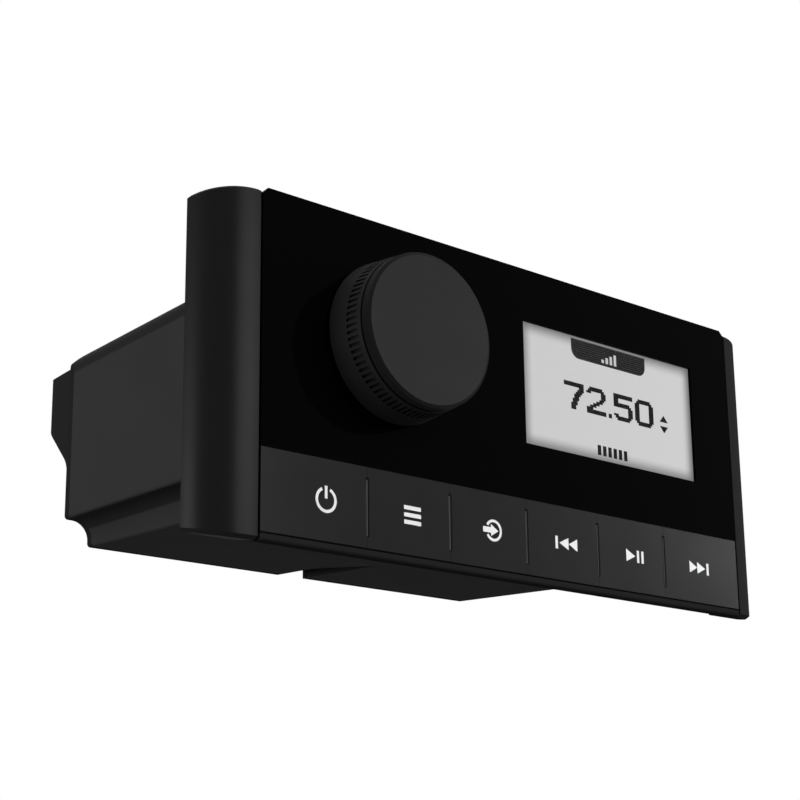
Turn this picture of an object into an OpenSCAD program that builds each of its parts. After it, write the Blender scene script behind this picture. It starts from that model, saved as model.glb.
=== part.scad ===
// Flush-mount marine stereo: a head unit that is let into a dash panel.
// +Z is up, the face looks along -Y, and +X is to the right of someone facing it.
// The origin is the centre of the four mounting holes, on the plane that seats on the dash.

/* [Face] */
// Width across both end caps
face_w = 160; // [150:1:180]
// Height of the face
face_h = 70; // [69:0.5:80]
// Depth from the face to the dash
bezel_depth = 9.2; // [9:0.1:10.5]
// Radius of the end caps, seen from above
cap_r = 11.6; // [11.2:0.1:13]
// How far the crest of an end cap sits behind the face
cap_set = 0.35; // [0.1:0.05:0.8]
// How far the caps draw in by the dash, at top and at bottom
cap_draft = 2; // [1:0.1:2.4]
// Bevel along the curved edge at each end of a cap
cap_edge = 0.8; // [0.3:0.1:1]
// How much further the frame between the caps draws in
frame_step = 0.3; // [0:0.1:0.6]
// Wall of the end caps
cap_wall = 1.4; // [1:0.1:1.8]
// Width of the seam between the panel and an end cap
seam_w = 0.3; // [0.2:0.05:0.8]
// Thickness of the gloss panel
panel_t = 1.6; // [1.3:0.1:1.9]
// Cut at the top corners of the gloss panel
panel_notch = 1.1; // [0.5:0.1:3]
// Front wall of the frame, behind the gloss panel
frame_wall = 1.2; // [1:0.1:1.5]
// Side and edge walls of the frame
rim_wall = 2.1; // [1.8:0.1:2.4]

/* [Display] */
// Width of the display window
window_w = 54.9; // [50:0.1:57]
// Gloss panel above the window
window_over = 11.85; // [10:0.05:13]
// Gloss panel below the window
window_under = 12.35; // [11:0.05:14]
// Gloss panel to the right of the window
window_end = 12.8; // [11.5:0.1:14]
// Thickness of the clear window
window_t = 0.5; // [0.4:0.05:1]
// Border of the display glass outside the window
glass_border = 2.2; // [1:0.1:3]
// Thickness of the display glass
glass_t = 1.6; // [1.1:0.1:1.9]
// Wall of the holder round the display
holder_wall = 1.2; // [0.8:0.1:1.6]

/* [Keys] */
// Height of the key strip
strip_h = 16.2; // [14:0.1:17]
// Height of the lip under the key strip
lip_h = 1.9; // [1.8:0.1:2.6]
// Rounding along the lower edge of the lip
lip_r = 0.7; // [0.3:0.1:0.9]
// How much wider the end keys are
key_extra = 3.9; // [2:0.1:8]
// Gap round each key
key_gap = 0.05; // [0.04:0.01:0.25]
// Width of the groove between two keys
groove_w = 1; // [0.6:0.05:1.4]
// Height of the groove between two keys
groove_h = 12; // [8:0.1:13]
// Depth of the groove between two keys
groove_d = 0.3; // [0.15:0.05:0.45]
// Thickness of a key's face
key_t = 1.5; // [1.2:0.05:1.6]
// How far a key travels
key_travel = 0.6; // [0.4:0.05:0.8]
// Height of the tongues that keep a key in
tongue_h = 0.5; // [0.3:0.05:0.6]
// Thickness of the tongues
tongue_t = 0.6; // [0.5:0.05:0.8]
// Thickness of the frame's web behind the keys
web_t = 0.8; // [0.6:0.05:1]
// Height of the domes on the key mat
dome_h = 1.1; // [1:0.05:1.2]

/* [Dial] */
// Centre of the dial, in from the left end of the gloss panel
dial_end = 31.8; // [28:0.1:34]
// Radius at the front edge of the dial
dial_front_r = 15.8; // [14:0.1:17]
// Radius at the foot of the dial
dial_foot_r = 16.8; // [15.5:0.1:18]
// Gap between the dial and the panel
dial_gap = 1.1; // [1:0.05:1.6]
// Height of the smooth skirt
skirt_h = 4.95; // [3:0.05:6]
// Length of the grip slots
slot_h = 2.85; // [2:0.05:4]
// Height of the land in front of the slots
land_h = 1; // [0.6:0.1:1.6]
// Height of the front cap
cap_h = 2.3; // [1.8:0.1:3]
// Number of grip slots
slot_count = 80; // [40:1:90]
// Width of a grip slot
slot_w = 0.62; // [0.4:0.02:0.8]
// Depth of a grip slot
slot_d = 0.45; // [0.2:0.05:0.7]
// Wall of the dial
dial_wall = 1.6; // [1.2:0.1:2.2]
// Radius of the encoder shaft
shaft_r = 3; // [2.5:0.1:3.2]
// Running clearance round the shaft
shaft_clear = 0.08; // [0.05:0.01:0.1]
// How far the dial pushes in
push_travel = 0.8; // [0.4:0.05:0.8]
// Side of the encoder body
encoder_w = 12.5; // [11.5:0.1:14]
// Length of the encoder body
encoder_len = 7; // [6.8:0.1:8]

/* [Rear case] */
// Depth of the case behind the dash plane, to its rear wall
case_depth = 73.6; // [66:0.1:90]
// Side of the case, in from the end of the face
case_in = 14.8; // [14.5:0.1:17]
// How far each side of the case draws in towards the rear
case_taper = 2; // [0.2:0.1:5]
// Top of the case, down from the top of the face
top_in = 11.9; // [11.1:0.1:13]
// How far the top curves down at the rear
crown_drop = 1.7; // [0.3:0.1:2]
// Length of the curve at the rear of the top
crown_len = 11; // [6:0.5:20]
// Underside of the case, up from the bottom of the face
low_up = 10.7; // [10.6:0.1:12]
// How far the underside climbs towards the rear
low_climb = 3.5; // [1.3:0.1:4.3]
// Height of the lower block under the side ledges, at the dash
step_h = 7.1; // [6.3:0.1:8.3]
// Height of the lower block under the side ledges, at the rear
step_h_rear = 5.6; // [5:0.1:6.8]
// Width of each side ledge at the dash
step_w = 5.5; // [4.7:0.1:8]
// Width of each side ledge at the rear
step_w_rear = 6; // [4.3:0.1:8]
// Wall of the case
case_wall = 2.2; // [1.8:0.1:2.4]
// Rounding along the top edges
top_r = 2.8; // [1:0.1:4]
// Fillet under the ledge
cove_r = 4.2; // [1.5:0.1:4.4]
// Width of the relief in the underside
relief_w = 7.7; // [5:0.1:10]
// Depth of the relief at the rear
relief_d = 2.2; // [1:0.1:3]
// Length of the relief
relief_len = 30; // [15:1:45]

/* [Rear cover] */
// Thickness of the cover
cover_t = 2; // [1.6:0.1:2.4]
// How far the bulge stands out behind the rear wall
bulge = 10.2; // [6:0.1:12]
// Step from the case down to the bulge's top
bulge_step = 1.2; // [0.4:0.1:3]
// Where the bulge's back starts to curve in, above the main board
bulge_deep = 21; // [19.5:0.1:26]
// Slope of the ramp under the bulge, from upright
ramp_angle = 46; // [35:1:60]
// Rounding at the upper end of the ramp
ramp_r = 5; // [2.5:0.1:6]
// Rounding at the foot of the ramp
ramp_foot_r = 6; // [3:0.1:7]
// How far the bulge's ends draw in
bulge_taper = 0.7; // [0.3:0.1:3]

/* [Mounting] */
// Mounting holes, in from the end of the face
screw_inset = 7.5; // [6.9:0.1:8]
// Mounting holes, in from the top and the bottom of the face
screw_drop = 10; // [8.5:0.1:13]
// Radius of the mounting holes
screw_hole_r = 2.2; // [1.8:0.1:2.4]
// Thickness of the mounting ears
ear_t = 3.2; // [2.6:0.1:3.6]
// Thickness of the gasket on the dash
gasket_t = 1.5; // [1:0.1:3]

/* [Inside] */
// Thickness of the circuit boards
board_t = 1.6; // [1.2:0.1:1.6]
// Height of the posts under the main board
post_h = 5.6; // [5:0.1:6]
// Gap between the main board and the walls beside it
main_clear = 3; // [2:0.1:8]
// Width of the harness socket
harness_w = 30; // [24:0.5:36]
// Height of the harness socket
harness_h = 8.2; // [7.8:0.1:9]
// Bore of the aerial socket
aerial_r = 4.3; // [4:0.05:4.6]
// Wall of the sockets
socket_wall = 1.1; // [0.8:0.05:1.2]
// How far the sockets stand out behind the rear wall
socket_out = 2.4; // [1:0.1:4]

/* [Hidden] */
$fn = 64;

// Clearance of a seated piece, and of a piece that slides past another
fit = 0.1;
slide = 0.2;
// Overshoot of a cut through a face
over = 1;

// Plan of the face: the arc of a cap starts at its seam and ends at the dash
cap_cy = -bezel_depth + cap_set + cap_r;
cap_cx = face_w / 2 - sqrt(cap_r * cap_r - cap_cy * cap_cy);
panel_hw = cap_cx - seam_w;
frame_draft = cap_draft + frame_step;
lip_top = -face_h / 2 + lip_h;
strip_top = lip_top + strip_h;
strip_mid = (lip_top + strip_top) / 2;

// Display and dial share one height on the gloss panel
window_h = face_h / 2 - strip_top - window_over - window_under;
window_x = panel_hw - window_end - window_w / 2;
control_z = face_h / 2 - window_over - window_h / 2;
dial_x = panel_hw - dial_end;

// Depths behind the face, front to back
tongue_front = panel_t + fit;
key_bed = tongue_front + tongue_t + key_travel + fit;
dome_top = key_bed + web_t + fit;
board_set = dome_top + dome_h;
board_back = board_set + board_t;
flange_t = bezel_depth - board_back - slide;
stem_end = dome_top - key_travel - fit / 2;

// Pocket in the back of the frame, with a ledge for the case seal
pocket_hw = panel_hw - rim_wall;
pocket_hh = face_h / 2 - frame_draft - rim_wall;
seal_w = 1.2;
seal_t = 0.8;
inner_hw = pocket_hw - seal_w;
inner_hh = pocket_hh - seal_w;

// Screws: radius of shank and head, and height of the head
shank_r = 1.2;
head_r = 2.2;
head_h = 1.2;
boss_r = 2.6;
// How far the screws of the case, the control board and the cover go into their bosses
case_bite = 3;
board_bite = 1.4;
cover_bite = 8;
case_screw_x = inner_hw - boss_r - fit;
case_screw_z = inner_hh - boss_r - fit;

glass_w = window_w + 2 * glass_border;
glass_h = window_h + 2 * glass_border;
beside_x = window_x - glass_w / 2 - holder_wall - boss_r - 2;
case_screw_at = concat([for (x = [-1, 1], z = [-1, 1]) [x * case_screw_x, z * case_screw_z]],
    [[0, -case_screw_z], [beside_x, case_screw_z]]);

// Control board and its screws, clear of display, dial and keys, with their heads in the hollow of the case
hollow_top = face_h / 2 - top_in - crown_drop - case_wall;
board_hw = case_screw_x - boss_r - slide;
board_hh = inner_hh - slide;
board_screw_x = board_hw - 5.4;
board_screw_z = hollow_top - head_r - slide;
board_screw_at = [[-board_screw_x, board_screw_z], [-board_screw_x, strip_top + 4],
    [beside_x - 4, board_screw_z], [board_screw_x, strip_top + 4]];

// Keys, left to right
key_count = 6;
key_pitch = 2 * (panel_hw - key_extra) / key_count;
groove_r = (groove_w * groove_w / 4 + groove_d * groove_d) / 2 / groove_d;
stem_w = 5;
stem_h = 3;
function key_x(i) = key_pitch * (i - (key_count - 1) / 2);
function key_left(i) = i == 0 ? -panel_hw : key_pitch * (i - key_count / 2) + key_gap / 2;
function key_right(i) = -key_left(key_count - 1 - i);

// Dial heights in front of the face
slot_z = dial_gap + skirt_h;
land_z = slot_z + slot_h;
cap_z = land_z + land_h;
dial_z = cap_z + cap_h;
function dial_r(z) = dial_foot_r + (dial_front_r - dial_foot_r) * (z - dial_gap) / (dial_z - dial_gap);
web_z = cap_z - 1.5;
hub_r = shaft_r + 2;
bush_r = shaft_r + shaft_clear + 0.9;
bush_hole_r = bush_r + 0.75;

// Encoder depths behind the face
encoder_front = panel_t + fit;
encoder_back = encoder_front + encoder_len;
chamber_front = encoder_front + 1.2;
chamber_back = encoder_back - 1;
chamber_r = encoder_w / 2 - 1.6;
collar_back = chamber_front + fit + 0.9;
shaft_tip = collar_back + 0.6;
plate_front = shaft_tip + fit;
plate_t = 0.8;
dome_rise = chamber_back - plate_front - plate_t - push_travel - fit;

// Case: widths and heights at the dash and at the rear, and stations along its depth
case_w = face_w - 2 * case_in;
case_w_rear = case_w - 2 * case_taper;
low_w = case_w - 2 * step_w;
low_w_rear = case_w_rear - 2 * step_w_rear;
case_top = face_h / 2 - top_in;
low = face_h / 2 - low_up;
low_rear = low - low_climb;
ledge = low - step_h;
ledge_rear = low_rear - step_h_rear;
case_end = case_depth - cover_t;
function mix(a, b, y) = a + (b - a) * y / case_depth;
function low_at(y) = -mix(low, low_rear, y);
ledge_edge_r = 0.8;
low_edge_r = 0.8;
bulge_top = case_top - crown_drop - bulge_step;
bulge_back = case_depth + bulge;
ramp_rounds = ramp_r + ramp_foot_r;
ramp_rise = ramp_rounds * sin(ramp_angle) + (bulge - ramp_rounds * (1 - cos(ramp_angle))) / tan(ramp_angle);
bulge_hw = case_w_rear / 2 - fit;

// Main board on its posts
floor_rear = -low_rear + case_wall;
main_w = low_w_rear - 2 * (case_wall + main_clear);
main_z = floor_rear + post_h;
main_top = main_z + board_t;
bulge_flat = main_top + bulge_deep;
bulge_foot = bulge_flat - ramp_rise;
main_front = 5;
main_back = case_end - 3;
post_r = 3;
post_at = [for (x = [-1, 1], y = [main_front + 6, main_back - 14]) [x * (main_w / 2 - 5), y]];
cover_screw_x = case_w_rear / 2 - case_wall - boss_r - 0.2;
cover_screw_z = main_top + boss_r + 0.6;

// Rear sockets
harness_x = main_w / 2 - 28;
harness_in = 13;
aerial_x = 18 - main_w / 2;
aerial_out_r = aerial_r + socket_wall;
aerial_z = main_top + aerial_out_r + fit;
aerial_deep = 8;
aerial_seat_r = aerial_r - 0.6;
socket_back = case_depth + socket_out;
socket_front = socket_back - harness_in - 2;
pin_side = 0.7;
pin_pitch = 3.1;
pin_cols = 8;

// Mounting
screw_x = face_w / 2 - screw_inset;
screw_pitch = face_h - 2 * screw_drop;
ear_hw = cap_cx + sqrt(pow(cap_r - cap_wall, 2) - pow(ear_t + cap_cy, 2)) - slide;
ear_hh = face_h / 2 - cap_draft - cap_wall - slide;
clip_w = 1.6;
clip_h = 6;
clip_x = cap_cx + cap_wall + 1.6;
clip_z = screw_pitch / 4;

charcoal = "#2f2f31";
black = "#0a0a0b";

// Helpers

// Children drawn on the face: local x right, local y up, local z forward from the face
module on_face(x = 0, z = 0) {
    translate([x, -bezel_depth, z]) rotate([90, 0, 0]) children();
}

// Block between two opposite corners
module block(a, b) {
    translate(a) cube(b - a);
}

// Plate parallel to the face, between two depths behind it
module face_plate(w, h, front, back) {
    translate([-w / 2, -h / 2, -back]) cube([w, h, back - front]);
}

// Side outline extruded across a width, from points in depth and height
module across(w, points) {
    rotate([90, 0, 90]) translate([0, 0, -w / 2]) linear_extrude(w) polygon(points);
}

module both_sides() {
    children();
    mirror([1, 0, 0]) children();
}

// Side outline of the face, drawn in towards the dash; its lower front edge can be round
module face_wedge(w, draft, inset = 0, edge_r = 0) {
    hh = face_h / 2 - inset;
    slope = draft / (bezel_depth + over);
    tip = edge_r == 0 ? [[-bezel_depth, -hh]] : arc([edge_r - bezel_depth,
        edge_r * (slope + sqrt(1 + slope * slope)) - hh], edge_r, 180, 270 + atan(slope));
    across(w, concat(tip, [[over, -hh + draft], [over, hh - draft], [-bezel_depth, hh]]));
}

// Plan of a cap on the right: a round sector from the seam to the dash
module cap_plan(inset, back) {
    intersection() {
        translate([cap_cx, cap_cy]) circle(cap_r - inset);
        translate([cap_cx + inset, -bezel_depth]) square([cap_r, bezel_depth + back]);
    }
}

module cap_form(inset, back) {
    intersection() {
        translate([0, 0, -face_h / 2]) linear_extrude(face_h) cap_plan(inset, back);
        face_wedge(2 * face_w, cap_draft, inset);
    }
}

// Cone that bevels the curved edge at the top of a cap, square to its drawn-in end
module cap_bevel() {
    slope = cap_draft / (bezel_depth + over);
    reach = 2 * face_h;
    translate([cap_cx, cap_cy, face_h / 2 - slope * (cap_cy + bezel_depth)]) rotate([-atan(slope), 0, 0])
        translate([0, 0, -reach])
        cylinder(h = reach + over / 2, r1 = cap_r - cap_edge + reach, r2 = cap_r - cap_edge - over / 2);
}

function arc(c, r, a0, a1, n = 6) = [for (k = [0:n])
    c + r * [cos(a0 + (a1 - a0) * k / n), sin(a0 + (a1 - a0) * k / n)]];

// Block whose half width, underside and top each change evenly from one depth to another
module drafted_block(y, hw, low_z, top_z) {
    intersection() {
        translate([0, 0, -face_h]) linear_extrude(2 * face_h)
            polygon([[-hw[0], y[0]], [hw[0], y[0]], [hw[1], y[1]], [-hw[1], y[1]]]);
        across(2 * face_w, [[y[0], low_z[0]], [y[1], low_z[1]], [y[1], top_z[1]], [y[0], top_z[0]]]);
    }
}

// Runs a flat profile along an edge of the case, on both sides: local x points out and local y down
module along_edge(w, w_rear, z, z_rear) {
    swing = atan((w - w_rear) / 2 / case_depth);
    climb = atan((z_rear - z) / case_depth);
    both_sides() translate([w / 2, 0, z]) rotate([climb, 0, swing]) rotate([-90, 0, 0])
        translate([0, 0, -flange_t / 2]) linear_extrude(case_depth + flange_t) children();
}

// What a round edge takes off a square corner, above it or below it
module corner_waste(r, below) {
    mirror([0, below ? 1 : 0]) difference() {
        translate([-r, -over]) square(r + over);
        translate([-r, r]) circle(r);
    }
}

// What a fillet adds to a square inner corner
module corner_fill(r) {
    difference() {
        translate([-over / 2, -over / 2]) square(r + over / 2);
        translate([r, r]) circle(r);
    }
}

// Whole outside of the case, stepped in under its ledges and drawn in towards the rear
module case_form() {
    ends = [-flange_t / 2, case_depth + over];
    shelf = [for (y = ends) -mix(ledge, ledge_rear, y)];
    difference() {
        union() {
            drafted_block(ends, [for (y = ends) mix(case_w, case_w_rear, y) / 2], shelf,
                [case_top, case_top]);
            drafted_block(ends, [for (y = ends) mix(low_w, low_w_rear, y) / 2], [for (y = ends) low_at(y)],
                [for (z = shelf) z + over]);
            along_edge(low_w, low_w_rear, -ledge, -ledge_rear) corner_fill(cove_r);
        }
        along_edge(case_w, case_w_rear, case_top, case_top) corner_waste(top_r, false);
        along_edge(case_w, case_w_rear, -ledge, -ledge_rear) corner_waste(ledge_edge_r, true);
        along_edge(low_w, low_w_rear, -low, -low_rear) corner_waste(low_edge_r, true);
    }
}

// Hollow of the case, one wall inside its outline
module case_hollow() {
    ends = [-flange_t - over, case_end + over];
    shelf = [for (y = ends) case_wall - mix(ledge, ledge_rear, y)];
    drafted_block(ends, [for (y = ends) mix(case_w, case_w_rear, y) / 2 - case_wall], shelf,
        [hollow_top, hollow_top]);
    drafted_block(ends, [for (y = ends) mix(low_w, low_w_rear, y) / 2 - case_wall],
        [for (y = ends) low_at(y) + case_wall], [for (z = shelf) z + over]);
}

// Cut that curves the top down at the rear
module crown_cut() {
    bend = crown_len * crown_len / crown_drop / 2;
    start = case_depth - crown_len;
    turn = asin(crown_len / bend);
    across(2 * face_w, concat(arc([start, case_top - bend], bend, 90, 90 - turn),
        [[case_depth + over, case_top - crown_drop - 0.2], [case_depth + over, face_h], [start, face_h]]));
}

// Relief in the underside, running out towards the front
module relief_form() {
    start = case_depth - relief_len;
    deep = low_at(case_depth) + relief_d;
    across(relief_w, [[start, low_at(start) - 0.1], [case_depth, deep], [case_depth + over, deep],
        [case_depth + over, -face_h / 2], [start, -face_h / 2]]);
}

// Floor over the relief, inside the case
module relief_ridge() {
    start = case_depth - relief_len;
    end = case_end - fit;
    sunk = case_wall / 2;
    skin = case_wall * 0.8;
    across(relief_w + 2 * case_wall, [[start, low_at(start) + sunk], [start, low_at(start) + skin],
        [end, low_at(end) + relief_d + skin], [end, low_at(end) + sunk]]);
}

// Rear bulge: rounded at the top and the ends, with a ramp down to the rear wall
module bulge_form(inset) {
    round_r = 0.9;
    top = bulge_top - inset;
    back = bulge_back - inset;
    rr = max(round_r - inset, 0.2);
    front = inset > 0 ? case_end - over : case_end;
    hw = bulge_hw - inset;
    intersection() {
        across(case_w, concat([[front, bulge_foot], [front, top]],
            arc([back - rr, top - rr], rr, 90, 0),
            arc([bulge_back - ramp_r, bulge_flat], ramp_r - inset, 0, -ramp_angle),
            arc([case_depth + ramp_foot_r, bulge_foot], ramp_foot_r + inset, 180 - ramp_angle, 180)));
        translate([0, 0, -face_h / 2]) linear_extrude(face_h)
            polygon(concat([[-hw, front], [hw, front], [hw, case_depth]],
                arc([hw - bulge_taper - rr, back - rr], rr, 0, 90),
                arc([-hw + bulge_taper + rr, back - rr], rr, 90, 180), [[-hw, case_depth]]));
    }
}

// Screw along local z: head from 0 to head_h, shank below it
module screw(length, head_radius = head_r) {
    slot_deep = head_h / 2;
    difference() {
        cylinder(h = head_h, r = head_radius);
        for (a = [0, 90]) rotate(a) translate([-head_radius * 0.6, -0.3, head_h - slot_deep])
            cube([head_radius * 1.2, 0.6, slot_deep + over]);
    }
    translate([0, 0, -length]) cylinder(h = length, r = shank_r);
}

module rounded(w, h, r) {
    for (x = [-1, 1], y = [-1, 1]) translate([x * (w / 2 - r), y * (h / 2 - r)]) circle(r);
    square([w - 2 * r, h], center = true);
    square([w, h - 2 * r], center = true);
}

// Face

module front_frame() color(charcoal) {
    difference() {
        union() {
            intersection() {
                face_wedge(2 * panel_hw, frame_draft, 0, lip_r);
                block([-face_w, -bezel_depth, -face_h], [face_w, 0, face_h]);
            }
            both_sides() block([panel_hw - over, -ear_t, -ear_hh], [ear_hw, 0, ear_hh]);
        }
        frame_front_cuts();
        frame_pocket();
        both_sides() for (z = [-1, 1]) {
            translate([screw_x, over, z * screw_pitch / 2]) rotate([90, 0, 0])
                cylinder(h = ear_t + 2 * over, r = screw_hole_r);
            clip_block(z, slide, -ear_t - over, over);
        }
    }
    frame_bosses();
}

// Room for the panel, the keys with their tongues, the display and the encoder
module frame_front_cuts() {
    on_face(0, strip_top + face_h / 2) face_plate(face_w, face_h, -over, panel_t);
    on_face(0, strip_mid) face_plate(face_w, strip_h, -over, key_bed);
    on_face(0, strip_mid) face_plate(2 * panel_hw - 2, strip_h + 2 * (tongue_h + slide), panel_t, key_bed);
    on_face(window_x, control_z) face_plate(glass_w + 2 * slide, glass_h + 2 * slide, 0, key_bed);
    on_face(-dial_x, control_z) face_plate(encoder_w + 3 * slide, encoder_w + 3 * slide, 0, key_bed);
    for (i = [0:key_count - 1]) on_face(key_x(i), strip_mid)
        face_plate(stem_w + 2 * slide, stem_h + 2 * slide, 0, key_bed + web_t + over);
}

// Hollow back of the frame: boards, then the ledge for the seal, then the flange of the case
module frame_pocket() {
    wall_back = panel_t + frame_wall;
    web_back = key_bed + web_t;
    split = strip_top + tongue_h + 2 * slide + frame_wall;
    seal_front = bezel_depth - flange_t - seal_t;
    on_face(0, (inner_hh + split) / 2)
        face_plate(2 * inner_hw, inner_hh - split, wall_back, bezel_depth + over);
    on_face(0, 0) face_plate(2 * inner_hw, 2 * inner_hh, web_back, bezel_depth + over);
    on_face(0, 0) face_plate(2 * pocket_hw, 2 * pocket_hh, seal_front, bezel_depth + over);
}

module frame_bosses() {
    root = panel_t + frame_wall / 2;
    for (p = case_screw_at) on_face(p.x, p.y) difference() {
        translate([0, 0, flange_t - bezel_depth])
            cylinder(h = bezel_depth - flange_t - (p.y > 0 ? root : key_bed + web_t / 2), r = boss_r);
        translate([0, 0, flange_t - bezel_depth - over])
            cylinder(h = case_bite + slide + over, r = shank_r + fit / 2);
    }
    for (p = board_screw_at) on_face(p.x, p.y) difference() {
        translate([0, 0, -board_set]) cylinder(h = board_set - root, r = boss_r);
        translate([0, 0, -board_set - over]) cylinder(h = board_bite + slide + over, r = shank_r + fit / 2);
    }
}

// Clip of an end cap, and with a clearance the slot that it enters
module clip_block(side, grow, front, back) {
    block([clip_x - grow, front, side * clip_z - clip_h / 2 - grow],
        [clip_x + clip_w + grow, back, side * clip_z + clip_h / 2 + grow]);
}

module front_panel() color(black) {
    top = face_h / 2;
    difference() {
        intersection() {
            on_face(0, 0) translate([0, 0, -panel_t]) linear_extrude(panel_t)
                polygon([[-panel_hw, strip_top], [panel_hw, strip_top], [panel_hw, top - panel_notch],
                    [panel_hw - panel_notch, top], [-panel_hw + panel_notch, top],
                    [-panel_hw, top - panel_notch]]);
            face_wedge(2 * panel_hw, frame_draft);
        }
        on_face(window_x, control_z) face_plate(window_w, window_h, -over, panel_t + over);
        on_face(-dial_x, control_z) translate([0, 0, -panel_t - over])
            cylinder(h = panel_t + 2 * over, r = bush_hole_r);
    }
}

module display_window() color("#c8ccce", 0.3) {
    on_face(window_x, control_z) face_plate(window_w - fit, window_h - fit, 0, window_t);
}

// Display glass, with a front film that fills the opening behind the window
module lcd_glass() color("#cfd2d3") {
    front = panel_t + fit;
    on_face(window_x, control_z) {
        face_plate(glass_w, glass_h, front, front + glass_t);
        face_plate(window_w - 2 * fit, window_h - 2 * fit, window_t + fit, front + glass_t);
    }
}

module lcd_backlight() color("#f4f4f0") {
    on_face(window_x, control_z) face_plate(glass_w, glass_h, panel_t + fit + glass_t, board_set);
}

module lcd_holder() color("#e8e8e4") {
    front = panel_t + frame_wall + fit;
    on_face(window_x, control_z) difference() {
        face_plate(glass_w + 2 * holder_wall, glass_h + 2 * holder_wall, front, board_set);
        face_plate(glass_w + fit, glass_h + fit, front - over, board_set + over);
    }
}

module control_board() color("#1f5a36") {
    difference() {
        on_face(0, 0) face_plate(2 * board_hw, 2 * board_hh, board_set, board_back);
        for (p = case_screw_at) on_face(p.x, p.y) translate([0, 0, -board_back - over])
            cylinder(h = board_t + 2 * over, r = boss_r + slide);
        for (p = board_screw_at) on_face(p.x, p.y) translate([0, 0, -board_back - over])
            cylinder(h = board_t + 2 * over, r = shank_r + fit);
        on_face(-dial_x, control_z)
            face_plate(encoder_w + 2 * slide, encoder_w + 2 * slide, board_set - over, board_back + over);
    }
}

module board_screws() color("#b8bcc0") {
    for (p = board_screw_at) translate([p.x, board_back - bezel_depth, p.y]) rotate([-90, 0, 0])
        screw(board_t + board_bite);
}

// Keys

module tact_switches() color("#3a3a3c") {
    switch_h = dome_h - 0.35;
    for (i = [0:key_count - 1]) on_face(key_x(i), strip_mid) {
        translate([0, 0, -board_set]) cylinder(h = switch_h - 0.25, r = 2.3);
        translate([0, 0, -board_set]) cylinder(h = switch_h, r = 1.1);
    }
}

module key_mat() color("#8f9296") {
    sheet = 0.4;
    skin = 0.25;
    dome_r = 3.2;
    mat_w = 2 * key_x(key_count - 1) + 3 * dome_r;
    mat_h = 2 * (inner_hh - slide + strip_mid);
    difference() {
        union() {
            on_face(0, strip_mid) face_plate(mat_w, mat_h, board_set - sheet, board_set);
            for (i = [0:key_count - 1]) on_face(key_x(i), strip_mid) translate([0, 0, -board_set])
                cylinder(h = dome_h, r1 = dome_r, r2 = dome_r - 0.5);
        }
        for (i = [0:key_count - 1]) on_face(key_x(i), strip_mid) translate([0, 0, -board_set - over])
            cylinder(h = dome_h - skin + over, r = dome_r - 0.7);
        on_face(0, -case_screw_z) translate([0, 0, -board_set - over])
            cylinder(h = dome_h + over, r = boss_r + slide);
    }
}

// Shallow round groove with round ends
module key_groove() {
    run = groove_h - groove_w;
    rotate([90, 0, 0]) cylinder(h = run, r = groove_r, center = true);
    for (s = [-1, 1]) translate([0, s * run / 2, 0]) sphere(groove_r);
}

// One key: face with half a groove at each neighbour, tongues above and below, stem behind
module key_cap(i) color(charcoal) {
    left = key_left(i);
    w = key_right(i) - left;
    stay = tongue_front + tongue_t;
    side = 3;
    on_face(left + w / 2, strip_mid) difference() {
        face_plate(w, strip_h - 2 * key_gap, 0, key_t);
        for (s = [-1, 1]) if ((s < 0 && i > 0) || (s > 0 && i < key_count - 1))
            translate([s * (w + key_gap) / 2, 0, groove_r - groove_d]) key_groove();
    }
    on_face(left + w / 2, strip_mid) {
        face_plate(w - 2 * side, strip_h - 2 * key_gap, key_t, stay);
        face_plate(w - 2 * side, strip_h + 2 * tongue_h, tongue_front, stay);
    }
    on_face(key_x(i), strip_mid) face_plate(stem_w, stem_h, stay, stem_end);
}

module key_power() key_cap(0);
module key_menu() key_cap(1);
module key_source() key_cap(2);
module key_previous() key_cap(3);
module key_play() key_cap(4);
module key_next() key_cap(5);

// Dial and encoder

module encoder_body() color("#9aa0a4") {
    on_face(-dial_x, control_z) difference() {
        union() {
            face_plate(encoder_w, encoder_w, encoder_front, encoder_back);
            face_plate(encoder_w + 2, encoder_w / 2, board_set - 0.4, board_set);
            translate([0, 0, -encoder_front - over]) cylinder(h = encoder_front - fit + over, r = bush_r);
        }
        translate([0, 0, -encoder_back]) cylinder(h = 2 * encoder_len, r = shaft_r + shaft_clear);
        translate([0, 0, -chamber_back]) cylinder(h = chamber_back - chamber_front, r = chamber_r);
    }
    on_face(-dial_x, control_z) face_plate(2 * chamber_r, 2 * chamber_r, chamber_back, encoder_back);
}

module click_dome() color("#c9b26a") {
    on_face(-dial_x, control_z) translate([0, 0, -chamber_back])
        cylinder(h = dome_rise, r1 = chamber_r - 0.6, r2 = 1.2);
}

module push_plate() color("#d8d8d4") {
    on_face(-dial_x, control_z) translate([0, 0, -plate_front - plate_t])
        cylinder(h = plate_t, r = chamber_r - slide);
}

module dial_shaft() color("#a8acb0") {
    on_face(-dial_x, control_z) {
        translate([0, 0, -collar_back]) cylinder(h = collar_back + web_z, r = shaft_r);
        translate([0, 0, -collar_back])
            cylinder(h = collar_back - chamber_front - fit, r = chamber_r - slide);
        translate([0, 0, -shaft_tip]) cylinder(h = shaft_tip - collar_back, r = shaft_r / 2);
    }
}

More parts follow.
